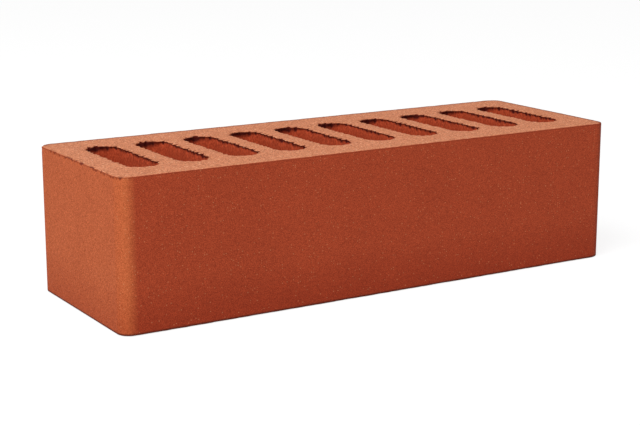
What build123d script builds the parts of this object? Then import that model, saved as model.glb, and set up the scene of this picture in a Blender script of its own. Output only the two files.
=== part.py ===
from build123d import *
import os

# Hollow facing brick of fired red clay, in millimetres.
# Clay is pushed through a die as one column with its slots in it, and wires cut the column to height.
# X runs along the stretcher face, Y through the wall and +Z up the courses.
# The origin is the centre of the lower bed, the face that the brick lies on.

# Overall size of the fired brick
length = 250.0
width = 85.0
height = 65.0

# Outline that the die gives the column
corner_radius = 6.0

# Edge round each wire-cut bed, dulled by handling and firing
arris = 0.6

# One row of slots across the brick, each running from bed to bed
slot_count = 10
slot_width = 15.0
end_wall = 13.0  # clay between the outermost slots and the header faces
face_wall = 16.0  # clay between the slots' round ends and the stretcher faces

# What is left between the walls sets the slots' length, and the webs of clay between them
slot_length = width - 2 * face_wall
web = (length - 2 * end_wall - slot_count * slot_width) / (slot_count - 1)
slot_pitch = slot_width + web

with BuildPart() as brick:
    # Solid column with rounded upright corners
    with BuildSketch():
        RectangleRounded(length, width, corner_radius)
    extrude(amount=height)

    # Dulled arrises round the two beds
    beds = brick.faces().filter_by(Axis.Z)
    chamfer(beds.edges(), arris)

    # Slots with full-round ends, left by the cores of the die
    with BuildSketch():
        with GridLocations(slot_pitch, 0, slot_count, 1):
            SlotOverall(slot_length, slot_width, rotation=90)
    extrude(amount=height, mode=Mode.SUBTRACT)

brick.part.label = "brick"

os.makedirs("parts", exist_ok=True)
export_step(brick.part, "parts/brick.step")

print("web between slots", round(web, 2), "mm")
print("slot length", slot_length, "mm")
print("share of the bed that is open", round(1 - brick.part.volume / (length * width * height), 3))
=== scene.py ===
import math

import bmesh
import bpy
import numpy as np
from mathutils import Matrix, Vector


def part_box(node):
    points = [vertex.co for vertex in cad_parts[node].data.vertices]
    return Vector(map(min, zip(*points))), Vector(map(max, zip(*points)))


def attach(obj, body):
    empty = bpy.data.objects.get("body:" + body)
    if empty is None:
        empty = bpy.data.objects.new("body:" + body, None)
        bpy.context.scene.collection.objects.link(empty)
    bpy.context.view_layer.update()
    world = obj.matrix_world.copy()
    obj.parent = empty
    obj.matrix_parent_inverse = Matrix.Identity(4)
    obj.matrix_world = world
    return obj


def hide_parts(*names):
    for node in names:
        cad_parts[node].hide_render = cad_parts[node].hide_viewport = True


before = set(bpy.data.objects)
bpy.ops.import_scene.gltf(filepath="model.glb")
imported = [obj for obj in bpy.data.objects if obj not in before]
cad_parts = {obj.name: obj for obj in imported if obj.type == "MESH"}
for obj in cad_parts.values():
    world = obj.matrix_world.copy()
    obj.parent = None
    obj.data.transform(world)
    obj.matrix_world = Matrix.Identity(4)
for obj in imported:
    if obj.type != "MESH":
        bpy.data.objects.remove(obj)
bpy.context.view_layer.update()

# The camera stands about 0.7 m from the brick, off its left front corner and a hand's breadth above the
# bed, so that the upper bed shows as a narrow slope with the slots crossing it.
CAMERA_PLACE = (-0.3603, -0.5765, 0.1837)
CAMERA_TURN = 31.48  # degrees from straight along the width, towards the right
CAMERA_DIP = 12.89  # degrees below level
CAMERA_LENS = 85.7  # millimetres, on a sensor 36 mm wide

camera = bpy.data.objects.new("camera", bpy.data.cameras.new("camera"))
camera.data.sensor_width = 36.0
camera.data.lens = CAMERA_LENS
camera.data.clip_start = 0.01
camera.location = CAMERA_PLACE
camera.rotation_euler = (math.radians(90 - CAMERA_DIP), 0, math.radians(-CAMERA_TURN))
bpy.context.scene.collection.objects.link(camera)
bpy.context.scene.camera = camera

# The brick is one piece of red clay. A die shapes its sides and its slots, wires cut it to height and drag
# clay over the rims of the slots, and the kiln fires it hard. Its overall size comes from the frame.
MM = 0.001
SLOT_COUNT = 10
SLOT_WIDTH = 15 * MM
END_WALL = 13 * MM
FACE_WALL = 16 * MM
CORNER_RADIUS = 6 * MM
ARRIS = 0.6 * MM

low, high = (np.array(corner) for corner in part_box("brick"))
length, width, height = high - low
slot_reach = width / 2 - FACE_WALL - SLOT_WIDTH / 2
web = (length - 2 * END_WALL - SLOT_COUNT * SLOT_WIDTH) / (SLOT_COUNT - 1)
pitch = SLOT_WIDTH + web
corner_centre = np.array([length, width]) / 2 - CORNER_RADIUS

# How finely one slot's share of the brick is divided, going round the slot
SIDE_STEPS = 112
END_STEPS = (24, 32, 24)
STRAIGHT_SHARE = 0.7  # of the bed's edge that faces the slot's straight side

# Places across a bed, from the edge of the slot's share (1) to where the rim starts (0)
BED_ROWS = np.array([1, 0.9, 0.72, 0.3, 0])
LOWER_BED_ROWS = np.array([0, 1])
RIM_START = 2.2 * MM
TEETH = 35  # that the wire's chatter leaves round a slot, about 3.5 mm apart
WIRE_LEAVES = [0.80, 0.60]  # which way the wire leaves a slot, to the right and the back
BACK_TIP = [-0.20, 0.98]  # which way out of a slot lies its back end, where the rim hangs deepest and its dark band, torn clay and painted shade, is fullest

# Sizes of what the wire leaves on the rim, in millimetres: where it enters a slot, and what is added where
# it leaves
BURR = (0.60, 0.10)
NOTCH = (0.75, 0.65)
HOLLOW = (0.05, 0.20)

# How many times the profile's depths are stretched, and what is added to that at a slot's back end
HANG = 1.5
BACK_HANG = 1.7

# Profile of the rim that the wire leaves, in millimetres: distance into the clay and depth below the bed,
# then how much of a notch there is in each, how much of the burr over the slot and of the torn hollow
# under the burr, and how dark it is painted, as torn clay and as painted shade, everywhere and at a notch
RIM_ROWS = np.array([
    [1.30, 0.00, 0.25, 0.00, 0.00, 0.00, 0.00, 0.00],
    [0.45, 0.02, 0.65, 0.06, 0.20, 0.00, 0.00, 0.30],
    [0.08, 0.07, 0.90, 0.35, 0.80, 0.00, 0.15, 1.00],
    [0.00, 0.18, 1.00, 0.60, 1.00, 0.00, 0.80, 1.00],
    [0.00, 0.36, 0.95, 0.80, 0.70, 0.20, 1.00, 1.00],
    [0.00, 0.62, 0.60, 0.80, 0.00, 1.00, 0.60, 0.60],
    [0.00, 1.10, 0.20, 0.50, 0.00, 0.50, 0.12, 0.15],
    [0.00, 2.20, 0.00, 0.00, 0.00, 0.00, 0.00, 0.00],
])
CUT_RIM_ROWS = 4  # the first rows of the rim, which the wire itself made
WALL_DEPTHS = np.array([8, 24, 50]) * MM  # in two slots the rim's last row passes the first by up to 0.2 mm
SIDE_LEVELS = np.array([63.9, 63.3, 62.4, 61, 58, 53, 45, 36, 27, 18, 9, 3, 1.4]) * MM

# Plain bevel at the lower rim: distance into the clay and height above the lower bed
LOWER_RIM_ROWS = np.array([[0, 2.4], [0, 0.6], [0.4, 0]]) * MM

# Chips at the upper arris, how near a side they start, and the distance within which points are welded
CHIP_REACH = 2.2 * MM
CHIP_DEPTH = 0.5 * MM
# How dark a chip is painted: its freshly broken clay, and painted shade in its hollow
CHIP_TORN_AND_SHADE = 0.75
SIDE_STARTS = 4 * MM
SIDE_FULL = 2 * MM
WELD_REACH = 0.002 * MM


def grain(points, size, seed):
    """Smooth noise from -1 to 1 with lumps of that size. A hash gives each corner of a cubic lattice a
    value, and the eight corners round a point are blended by a smooth step along each axis."""
    cell = points / size + 31.7 * seed
    corner = np.floor(cell).astype(np.int64)
    step = cell - corner
    step = step * step * (3 - 2 * step)
    total = np.zeros(points.shape[:-1])
    for offset in np.ndindex(2, 2, 2):
        key = (corner + offset) @ np.array([73856093, 19349663, 83492791]) + 7919 * seed
        key = ((key ^ (key >> 13)) * 1274126177) & 0xFFFFFFFF
        value = ((key ^ (key >> 16)) & 0xFFFF) / 32767.5 - 1
        total += value * np.prod(np.where(offset, step, 1 - step), axis=-1)
    return total


def smooth_step(value, start, end):
    """0 before start, 1 after end, and an S-curve between them."""
    share = np.clip((value - start) / (end - start), 0, 1)
    return share * share * (3 - 2 * share)


def with_level(place, level):
    """Adds a height to places in plan, or one more value to any places."""
    return np.concatenate([place, np.broadcast_to(level, place.shape[:-1])[..., None]], axis=-1)


def slot_loop():
    """Points round one slot's outline, about its centre, and the outward direction at each. The centre line
    runs up one side and down the other, and at each end the direction turns by half a circle."""
    stops = np.cumsum([0, SIDE_STEPS, sum(END_STEPS), SIDE_STEPS, sum(END_STEPS)])
    count = np.arange(stops[-1])
    along = np.interp(count, stops, [-slot_reach, slot_reach, slot_reach, -slot_reach, -slot_reach])
    turn = np.interp(count, stops, [0, 0, np.pi, np.pi, 2 * np.pi])
    away = np.stack([np.cos(turn), np.sin(turn)], axis=-1)
    return np.stack([0 * along, along], axis=-1) + away * SLOT_WIDTH / 2, away


def round_corners(points, inset):
    """Moves points past a rounded corner back onto it, and gives each point's outward direction. The
    corner's centre is the nearest point of the rectangle that lies one radius inside the outline."""
    centre = np.clip(points, -corner_centre, corner_centre)
    reach = points - centre
    far = np.linalg.norm(reach, axis=-1, keepdims=True)
    away = reach / np.maximum(far, 1e-9)
    return centre + away * np.minimum(far, CORNER_RADIUS - inset), away


def share_loop(left, right):
    """Points round the edge of one slot's share of the bed, one for each point of slot_loop. It is a
    rectangle from left to right, rounded where it meets a corner of the brick."""
    edge = width / 2 - ARRIS
    straight = STRAIGHT_SHARE * edge
    stops = np.cumsum([0, SIDE_STEPS, *END_STEPS, SIDE_STEPS, *END_STEPS])
    count = np.arange(stops[-1])
    x = [right, right, right, left, left, left, left, right, right]
    y = [-straight, straight, edge, edge, straight, -straight, -edge, -edge, -straight]
    place = np.stack([np.interp(count, stops, x), np.interp(count, stops, y)], axis=-1)
    return round_corners(place, ARRIS)[0]


def slot_share(centre, left, right):
    """One slot's share of the brick as a grid of places, each followed by how dark it is painted there, as
    torn clay and as shade. Its first parameter goes round the slot, and its second runs over the upper bed,
    over the rim, down the wall of the slot and back out over the lower bed. The wire's chatter is a wave
    along the rim with pointed troughs, the absolute value of a sine, and noise is added to it. Where the sum
    is high a burr hangs over the slot, and where it is low a notch is torn in the bed. Notches, the hollow
    under the burr and its dark band are largest where the wire left the slot. The dark band is partly torn
    clay and partly painted shade under the burr and in the notches, and it is fullest at the slot's back
    end, as painted shade."""
    slot, away = slot_loop()
    slot = slot + [centre, 0]
    edge = share_loop(left, right)
    near = slot + away * RIM_START
    rim = with_level(slot, height)
    dragged = smooth_step(away @ WIRE_LEAVES, -0.6, 0.6)
    run = np.cumsum(np.linalg.norm(np.diff(slot, axis=0, prepend=slot[-1:]), axis=-1))
    wave = np.pi * TEETH * run / run[-1] + 1.5 * grain(rim, 6 * MM, 13)
    chatter = 2 * np.abs(np.sin(wave)) - 1
    lumps = 0.5 * grain(rim, 0.9 * MM, 1) + 0.6 * grain(rim, 2.1 * MM, 2) + 0.6 * chatter - 0.1
    rough = 0.85 + 0.5 * grain(rim, 7 * MM, 12)
    burr = (BURR[0] + BURR[1] * dragged) * rough * np.clip(0.15 + lumps, 0, 1) * MM
    notched = rough * np.clip(0.3 - lumps, 0, 1)
    notch = (NOTCH[0] + NOTCH[1] * dragged) * notched * MM
    hollow = (HOLLOW[0] + HOLLOW[1] * dragged) * (0.8 + 0.3 * grain(rim, 2.3 * MM, 4)) * MM
    back_tip = smooth_step(away @ BACK_TIP, 0.2, 1)
    hang = HANG + 0.6 * grain(rim, 2.9 * MM, 5) + BACK_HANG * back_tip
    into, deep, by_notch, deep_by_notch, by_burr, by_hollow, torn_and_shade, torn_and_shade_by_notch = RIM_ROWS.T
    out = into * MM + notch[:, None] * by_notch - burr[:, None] * by_burr + hollow[:, None] * by_hollow
    fall = deep * MM * hang[:, None] + notch[:, None] * deep_by_notch
    ragged = (0.15 + 0.85 * dragged) * smooth_step(notched, 0.2, 0.8)
    # The back end of the slot gets the fullest dark band, painted shade where the light reaches least.
    patchy = np.maximum(0.45 + 0.55 * smooth_step(-lumps, -0.4, 0.2), back_tip)
    band = (0.35 + 0.65 * dragged) * patchy
    torn_and_shade = np.maximum(torn_and_shade * band[:, None], torn_and_shade_by_notch * ragged[:, None])

    def bed(shares, level):
        return with_level(near[:, None] + (edge - near)[:, None] * shares[:, None], level)

    def wall(out, level):
        return with_level(slot[:, None] + away[:, None] * out[..., None], level)

    rounds = (len(slot), 1)
    return np.concatenate([
        with_level(bed(BED_ROWS, height), 0.0),
        with_level(wall(out, height - fall), torn_and_shade),
        with_level(wall(np.tile(0 * WALL_DEPTHS, rounds), height - WALL_DEPTHS), 0.0),
        with_level(wall(np.tile(LOWER_RIM_ROWS[:, 0], rounds), LOWER_RIM_ROWS[:, 1]), 0.0),
        with_level(bed(LOWER_BED_ROWS, 0.0), 0.0),
    ], axis=1)


def outer_sides(ring):
    """The four sides as a grid of places, each followed by how torn the clay is there. Its first parameter
    goes round the brick, and its second runs from bed to bed along a quarter circle at each arris and
    straight between them."""
    _, away = round_corners(ring, ARRIS)
    quarter = np.radians([0, 30, 60, 90])
    fall = ARRIS * (1 - np.cos(quarter))
    out = ARRIS * np.sin(quarter)
    level = np.concatenate([height - fall, SIDE_LEVELS, fall[::-1]])
    step_out = np.concatenate([out, np.full(len(SIDE_LEVELS), ARRIS), out[::-1]])
    return with_level(with_level(ring[:, None] + away[:, None] * step_out[:, None], level), 0.0)


def on_side(points):
    """How far a point is on the left of the bed, and on its back or right, each from 0 to 1."""
    x, y = points[..., 0], points[..., 1]
    left = smooth_step(-x, length / 2 - SIDE_STARTS, length / 2 - SIDE_FULL)
    back = smooth_step(y, width / 2 - SIDE_STARTS, width / 2 - SIDE_FULL)
    right = smooth_step(x, length / 2 - SIDE_STARTS, length / 2 - SIDE_FULL)
    return left, np.maximum(back, right)


def by_upper_arris(points, reach):
    """1 at the upper arris, falling to 0 at that reach from it."""
    plan = points[..., :2]
    out = np.linalg.norm(plan - np.clip(plan, -corner_centre, corner_centre), axis=-1)
    return smooth_step(-np.hypot(CORNER_RADIUS - out, height - points[..., 2]), -reach, 0)


def chipped(points):
    """How much of a chip is at each point, from 0 to 1: lumps of noise within about 2 mm of the upper
    arris, many of them small on the left, where the wire entered the clay, and a few larger ones, which
    are deepest at the back and on the right."""
    left, far = on_side(points)
    small = smooth_step(grain(points, 1.15 * MM, 6) + 0.15 * grain(points, 4 * MM, 7), -0.05, 0.25)
    large = smooth_step(grain(points, 2.4 * MM, 8) + 0.5 * grain(points, 9 * MM, 9), 0.8, 1.2)
    return np.maximum(left * small, (0.25 + 0.75 * far) * large) * by_upper_arris(points, CHIP_REACH)


def weathered(points):
    """Moves the surface by what making and handling leave: a fine drag on the beds and chips at the upper
    arrises. A chip goes in and down, and the drag only from the bed inwards."""
    _, away = round_corners(points[..., :2], 0)
    outward = np.sign(points[..., 2] - height / 2)
    on_bed = smooth_step(np.abs(points[..., 2] - height / 2), height / 2 - 0.5 * MM, height / 2 - 0.05 * MM)
    drag = 0.1 + 0.05 * grain(points, 2.2 * MM, 10) + 0.05 * grain(points * [1, 0.3, 1], 5 * MM, 11)
    moved = points - with_level(away, 1) * CHIP_DEPTH * chipped(points)[..., None]
    moved[..., 2] -= outward * on_bed * drag * MM
    return moved


def dark_edges_and_painted_shade(points):
    """How dark the edges of the brick are, from 0 to 1: the upper arrises at the back and on the right, a
    thin line just under the whole upper arris, painted shade along the lower arrises where the brick meets
    the floor, and painted shade on all the corners but the left front one, which turn from the light."""
    past = np.min(np.abs(points[..., :2]) - corner_centre, axis=-1)
    corner = smooth_step(past, -1 * MM, 3 * MM) * (np.max(points[..., :2], axis=-1) > 0)
    upper = on_side(points)[1] * by_upper_arris(points, 4 * MM)
    lower = smooth_step(-points[..., 2], -1.5 * MM, -0.5 * MM)
    below = smooth_step(height - points[..., 2], 0, 0.2 * MM) * by_upper_arris(points, 1.4 * MM)
    return np.max([0.65 * upper, 0.9 * lower, 0.6 * below, 0.3 * corner], axis=0)


def grid_faces(rows, columns, first):
    """Four-sided faces of a grid that closes on itself along its first parameter."""
    here = np.arange(rows)[:, None] * columns + np.arange(columns - 1)
    there = (np.arange(rows)[:, None] + 1) % rows * columns + np.arange(columns - 1)
    return first + np.stack([here, here + 1, there + 1, there], axis=-1).reshape(-1, 4)


centres = (np.arange(SLOT_COUNT) - (SLOT_COUNT - 1) / 2) * pitch
between = (centres[1:] + centres[:-1]) / 2
lefts = [-length / 2 + ARRIS, *between]
rights = [*between, length / 2 - ARRIS]
shares = [slot_share(*sizes) for sizes in zip(centres, lefts, rights)]

# The ring round the brick takes its points from the edges of the slots' shares, in order round the outline
edges = [share[:, 0, :2] for share in shares]
half_way = SIDE_STEPS + sum(END_STEPS)
end_start = SIDE_STEPS + END_STEPS[0]
end_stop = end_start + END_STEPS[1]
ring = np.concatenate([
    *[edge[end_start:end_stop] for edge in edges[::-1]],
    edges[0][end_stop:half_way + end_start],
    *[edge[half_way + end_start:half_way + end_stop] for edge in edges],
    edges[-1][half_way + end_stop:],
    edges[-1][:end_start],
])
sides = outer_sides(ring)
grids = [*shares, sides]

# Each column of a grid is cut by the wire, shaped by the die's cores, or smoothed by the die's walls
CUT, CORED, SMOOTHED = 0, 1, 2
cut_columns = len(BED_ROWS) + CUT_RIM_ROWS - 1
cored_columns = len(RIM_ROWS) - CUT_RIM_ROWS + len(WALL_DEPTHS) + len(LOWER_RIM_ROWS)
share_finish = np.array([CUT] * cut_columns + [CORED] * cored_columns + [CUT] * len(LOWER_BED_ROWS))
side_finish = np.array([CUT] + [SMOOTHED] * (sides.shape[1] - 3) + [CUT])

grid_points = np.concatenate([grid.reshape(-1, 4) for grid in grids])
points, rim_torn_and_shade = grid_points[:, :3], grid_points[:, 3]
starts = np.cumsum([0] + [grid.shape[0] * grid.shape[1] for grid in grids])
faces = np.concatenate([grid_faces(*grid.shape[:2], start) for grid, start in zip(grids, starts)])
share_finishes = [np.tile(share_finish, len(share)) for share in shares]
finishes = np.concatenate([*share_finishes, np.tile(side_finish, len(sides))])

mesh = bpy.data.meshes.new("fired_brick")
mesh.from_pydata(weathered(points), [], faces)
mesh.polygons.foreach_set("material_index", finishes)
# The dark tone marks torn and chipped clay, and painted shade under the rims, in the slots' back ends, along
# the lower arrises and on the far corners.
torn_and_shade = mesh.attributes.new("torn_and_shade", "FLOAT", "POINT")
all_torn_and_shade = np.max([CHIP_TORN_AND_SHADE * chipped(points), rim_torn_and_shade, dark_edges_and_painted_shade(points)], axis=0)
torn_and_shade.data.foreach_set("value", all_torn_and_shade.astype(np.float32))

welding = bmesh.new()
welding.from_mesh(mesh)
bmesh.ops.remove_doubles(welding, verts=welding.verts, dist=WELD_REACH)
bmesh.ops.recalc_face_normals(welding, faces=welding.faces)
welding.to_mesh(mesh)
welding.free()
mesh.shade_smooth()

brick = bpy.data.objects.new("fired_brick", mesh)
bpy.context.scene.collection.objects.link(brick)


def colour(text):
    """A colour written as six sRGB hex digits, as linear red, green, blue and alpha."""
    values = [int(text[i:i + 2], 16) / 255 for i in (0, 2, 4)]
    return [v / 12.92 if v <= 0.04045 else ((v + 0.055) / 1.055) ** 2.4 for v in values] + [1.0]


def node(tree, kind, inputs, **settings):
    """Adds a node of that kind with its settings. Inputs go by name or number, and each is a value, the
    output of a node, or a node, which stands for its first output in use."""
    made = tree.nodes.new(kind)
    for name, value in settings.items():
        setattr(made, name, value)
    for name, value in inputs.items():
        if isinstance(value, bpy.types.Node):
            value = next(output for output in value.outputs if output.enabled)
        if isinstance(value, bpy.types.NodeSocket):
            tree.links.new(value, made.inputs[name])
        else:
            made.inputs[name].default_value = value
    return made


def per(size):
    """Texture scale that gives a pattern of that size in millimetres."""
    return 1000 / size


def specks(tree, place, size, reach, share):
    """Round grains as a value from 0 to 1: one in each cell of that size in millimetres, out to reach cells
    from its middle, in that share of the cells."""
    cells = node(tree, "ShaderNodeTexVoronoi", {"Vector": place, "Scale": per(size)})
    near = node(tree, "ShaderNodeMapRange", {0: cells, 1: reach, 2: 0.4 * reach})
    chance = node(tree, "ShaderNodeSeparateColor", {0: cells.outputs["Color"]})
    kept = node(tree, "ShaderNodeMath", {0: chance, 1: 1 - share}, operation="GREATER_THAN")
    return node(tree, "ShaderNodeMath", {0: near, 1: kept}, operation="MULTIPLY")


def grains(tree, place, size):
    """Grains of that size in millimetres, each with a value of its own from 0 to 1."""
    cells = node(tree, "ShaderNodeTexVoronoi", {"Vector": place, "Scale": per(size)})
    return node(tree, "ShaderNodeSeparateColor", {0: cells.outputs["Color"]})


def clay_skin(tree, base, torn_and_shade_tone, torn_and_shade_range, height, relief, roughness):
    """Ends a clay material: the base colour turns to the dark tone where the mesh marks torn clay and
    painted shade, the height gives a bump of that relief in millimetres, and the roughness falls where the
    height stands out."""
    torn_and_shade = node(tree, "ShaderNodeAttribute", {}, attribute_name="torn_and_shade").outputs["Fac"]
    share = node(tree, "ShaderNodeMapRange", {0: torn_and_shade, 1: torn_and_shade_range[0], 2: torn_and_shade_range[1]})
    base = node(tree, "ShaderNodeMix", {0: share, 6: base, 7: colour(torn_and_shade_tone)}, data_type="RGBA")
    bump = node(tree, "ShaderNodeBump", {"Strength": 1.0, "Distance": relief * MM, "Height": height})
    rough = node(tree, "ShaderNodeMapRange", {0: height, 1: 0.3, 2: 0.7, 3: roughness, 4: roughness - 0.1})
    skin = {"Base Color": base, "Normal": bump, "Roughness": rough, "Specular IOR Level": 0.2}
    node(tree, "ShaderNodeOutputMaterial", {"Surface": node(tree, "ShaderNodeBsdfPrincipled", skin)})


def clay(name):
    """An empty material on the brick, as its node tree and the place that its patterns follow."""
    material = bpy.data.materials.new(name)
    material.use_nodes = True
    material.node_tree.nodes.clear()
    mesh.materials.append(material)
    return material.node_tree, node(material.node_tree, "ShaderNodeTexCoord", {}).outputs["Object"]


# The clay where the wire cut it: open, gritty and pale, with grains of sand pulled half out of it. To the
# eye it is a matt orange tan that sparkles a little from grain to grain. The real grit and sand are about
# 0.1 to 0.4 mm, and they are drawn about twice as coarse so that they show.
tree, place = clay("wire_cut_fired_clay")
grit = node(tree, "ShaderNodeTexNoise", {"Vector": place, "Scale": per(0.42), "Detail": 2.0})
patch = node(tree, "ShaderNodeTexNoise", {"Vector": place, "Scale": per(7), "Detail": 2.0})
cells = {0: grains(tree, place, 0.6), 1: 0.25, 2: grit}
tone = node(tree, "ShaderNodeMath", cells, operation="MULTIPLY_ADD")
share = node(tree, "ShaderNodeMapRange", {0: tone, 1: 0.27, 2: 0.97})
base = node(tree, "ShaderNodeMix", {0: share, 6: colour("7b3b21"), 7: colour("fba57a")}, data_type="RGBA")
share = node(tree, "ShaderNodeMapRange", {0: patch, 1: 0.35, 2: 0.65, 3: 0.0, 4: 0.12})
base = node(tree, "ShaderNodeMix", {0: share, 6: base, 7: colour("bc7447")}, data_type="RGBA")
sand = specks(tree, place, 1.1, 0.4, 0.15)
base = node(tree, "ShaderNodeMix", {0: sand, 6: base, 7: colour("f6bf98")}, data_type="RGBA")
# Painted shade: dark specks where small pits in the bed are in shade.
pit_shade = specks(tree, place, 2.6, 0.18, 0.4)
base = node(tree, "ShaderNodeMix", {0: pit_shade, 6: base, 7: colour("7d432c")}, data_type="RGBA")
clay_skin(tree, base, "5a1005", (0.15, 0.7), grit, relief=0.12, roughness=0.97)

# The clay on the walls of the slots, pushed past the cores of the die: red, close-grained, with faint
# streaks along the way it moved. To the eye it is a dull deep red, nearly black under the rims, where the
# dark tone is partly torn clay and partly painted shade. The streaks are drawn 0.6 mm wide, coarser than
# real ones, so that they show.
tree, place = clay("core_smoothed_fired_clay")
drawn = node(tree, "ShaderNodeMapping", {"Vector": place, "Scale": (1, 1, 0.6)})
streak = node(tree, "ShaderNodeTexNoise", {"Vector": drawn, "Scale": per(0.6), "Detail": 2.0})
share = node(tree, "ShaderNodeMapRange", {0: streak, 1: 0.26, 2: 0.74})
base = node(tree, "ShaderNodeMix", {0: share, 6: colour("923015"), 7: colour("c7532f")}, data_type="RGBA")
clay_skin(tree, base, "4c0c04", (0.15, 0.75), streak, relief=0.1, roughness=0.92)

# The clay on the four sides, pressed smooth by the walls of the die and then fired: a fine skin of one red
# with pale specks of sand. To the eye it is more orange on the left end, with a painted highlight on its
# rounded corners, and painted shade makes it darker along the foot.
# Grit and sand are drawn about twice as coarse as the real ones, so that they show.
CORNER_TURN = (7.2 * MM - length / 2, 3.4 * MM - length / 2)  # where the red turns to the end's orange
CORNER_HIGHLIGHT = (0.1 * MM - length / 2, 2.0 * MM - length / 2)  # where the end's orange turns paler, a painted highlight on the rounded left corners
CORNER_HIGHLIGHT_SHARE = 0.22
FOOT = 22 * MM
tree, place = clay("die_smoothed_fired_clay")
cloud = node(tree, "ShaderNodeTexNoise", {"Vector": place, "Scale": per(26), "Detail": 3.0})
mottle = node(tree, "ShaderNodeTexNoise", {"Vector": place, "Scale": per(1.4), "Detail": 1.0})
grit = node(tree, "ShaderNodeTexNoise", {"Vector": place, "Scale": per(0.34), "Detail": 2.0})
cells = {0: grains(tree, place, 0.45), 1: 0.15, 2: grit}
tone = node(tree, "ShaderNodeMath", cells, operation="MULTIPLY_ADD")
tone = node(tree, "ShaderNodeMath", {0: mottle, 1: 0.1, 2: tone}, operation="MULTIPLY_ADD")
tone = node(tree, "ShaderNodeMath", {0: cloud, 1: 0.08, 2: tone}, operation="MULTIPLY_ADD")
share = node(tree, "ShaderNodeMapRange", {0: tone, 1: 0.41, 2: 0.92})
front = node(tree, "ShaderNodeMix", {0: share, 6: colour("852913"), 7: colour("dc5f38")}, data_type="RGBA")
end = node(tree, "ShaderNodeMix", {0: share, 6: colour("943a18"), 7: colour("e27848")}, data_type="RGBA")
axes = node(tree, "ShaderNodeSeparateXYZ", {0: place})
share = node(tree, "ShaderNodeMapRange", {0: axes, 1: CORNER_TURN[0], 2: CORNER_TURN[1]})
base = node(tree, "ShaderNodeMix", {0: share, 6: front, 7: end}, data_type="RGBA")
# Painted highlight: the end's orange turns paler on the rounded corners of the left end.
highlight_span = {0: axes, 1: CORNER_HIGHLIGHT[0], 2: CORNER_HIGHLIGHT[1], 4: CORNER_HIGHLIGHT_SHARE}
corner_highlight = node(tree, "ShaderNodeMapRange", highlight_span)
corner_highlight = node(tree, "ShaderNodeMath", {0: corner_highlight, 1: share}, operation="MULTIPLY")
base = node(tree, "ShaderNodeMix", {0: corner_highlight, 6: base, 7: colour("e57a46")}, data_type="RGBA")
# Painted shade: darker towards the foot, where the brick meets the floor.
share = node(tree, "ShaderNodeMapRange", {0: axes.outputs["Z"], 1: FOOT, 2: 0.0})
foot_shade = {0: share, 6: base, 7: colour("e8d3ca")}
base = node(tree, "ShaderNodeMix", foot_shade, data_type="RGBA", blend_type="MULTIPLY")
sand = node(tree, "ShaderNodeMath", {0: specks(tree, place, 1.1, 0.28, 0.2), 1: 0.5}, operation="MULTIPLY")
base = node(tree, "ShaderNodeMix", {0: sand, 6: base, 7: colour("e6a070")}, data_type="RGBA")
clay_skin(tree, base, "702a14", (0.15, 0.7), grit, relief=0.08, roughness=0.86)

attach(brick, "root")
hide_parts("brick")

# The floor is a plain pale board that the brick lies on. It shows white to the camera, and keeps a faint
# shadow.
FLOOR_HALF = 4.0
FLOOR_LEVEL = -0.1 * MM
FLOOR_GREY = (0.5, 0.5, 0.5, 1)  # what it throws back at the brick
SEEN_GREY = (0.22, 0.22, 0.22, 1)  # what it shows of light and shadow
SEEN_GLOW = 0.84  # what brings it up to white
floor_mesh = bpy.data.meshes.new("floor")
floor_corners = FLOOR_HALF * np.array([[-1, -1], [1, -1], [1, 1], [-1, 1]])
floor_mesh.from_pydata(with_level(floor_corners, FLOOR_LEVEL), [], [(0, 1, 2, 3)])
floor = bpy.data.objects.new("floor", floor_mesh)
bpy.context.scene.collection.objects.link(floor)


def shown(tree):
    """1 for what the camera sees, straight, in a reflection or through glass, and 0 for what only lights."""
    ray = node(tree, "ShaderNodeLightPath", {})
    some = ray.outputs["Is Camera Ray"]
    for other in ("Is Glossy Ray", "Is Transmission Ray"):
        some = node(tree, "ShaderNodeMath", {0: some, 1: ray.outputs[other]}, operation="MAXIMUM")
    return some


paint = bpy.data.materials.new("floor_paint")
paint.use_nodes = True
tree = paint.node_tree
tree.nodes.clear()
lighting = node(tree, "ShaderNodeBsdfDiffuse", {"Color": FLOOR_GREY})
faint = node(tree, "ShaderNodeBsdfDiffuse", {"Color": SEEN_GREY})
glow = node(tree, "ShaderNodeEmission", {"Color": (1, 1, 1, 1), "Strength": SEEN_GLOW})
seen = node(tree, "ShaderNodeAddShader", {0: faint, 1: glow})
both = node(tree, "ShaderNodeMixShader", {0: shown(tree), 1: lighting, 2: seen})
node(tree, "ShaderNodeOutputMaterial", {"Surface": both})
floor_mesh.materials.append(paint)

# Plain studio light: an even white surround, and one large soft box up on the left, a little in front,
# which throws a faint shadow to the right and the back.
SURROUND_LEVEL = 0.45
world = bpy.data.worlds.new("studio")
bpy.context.scene.world = world
world.use_nodes = True
tree = world.node_tree
tree.nodes.clear()
lighting = node(tree, "ShaderNodeBackground", {"Color": (1, 1, 1, 1), "Strength": SURROUND_LEVEL})
seen = node(tree, "ShaderNodeBackground", {"Color": (1, 1, 1, 1), "Strength": 1.0})
both = node(tree, "ShaderNodeMixShader", {0: shown(tree), 1: lighting, 2: seen})
node(tree, "ShaderNodeOutputWorld", {"Surface": both})

KEY_TOWARD = Vector((-0.56, -0.27, 0.78)).normalized()
KEY_DISTANCE = 2.0
KEY_SIDE = 1.1
KEY_LEVEL = 0.75  # what it adds to a white card that faces it, where 1 shows a colour as it is written
key = bpy.data.objects.new("key_light", bpy.data.lights.new("key_light", "AREA"))
key.data.size = KEY_SIDE
key.data.energy = KEY_LEVEL * math.pi ** 2 * KEY_DISTANCE ** 2
key.location = KEY_TOWARD * KEY_DISTANCE
key.rotation_euler = KEY_TOWARD.to_track_quat("Z", "Y").to_euler()
bpy.context.scene.collection.objects.link(key)

bpy.context.scene.view_settings.view_transform = "Standard"
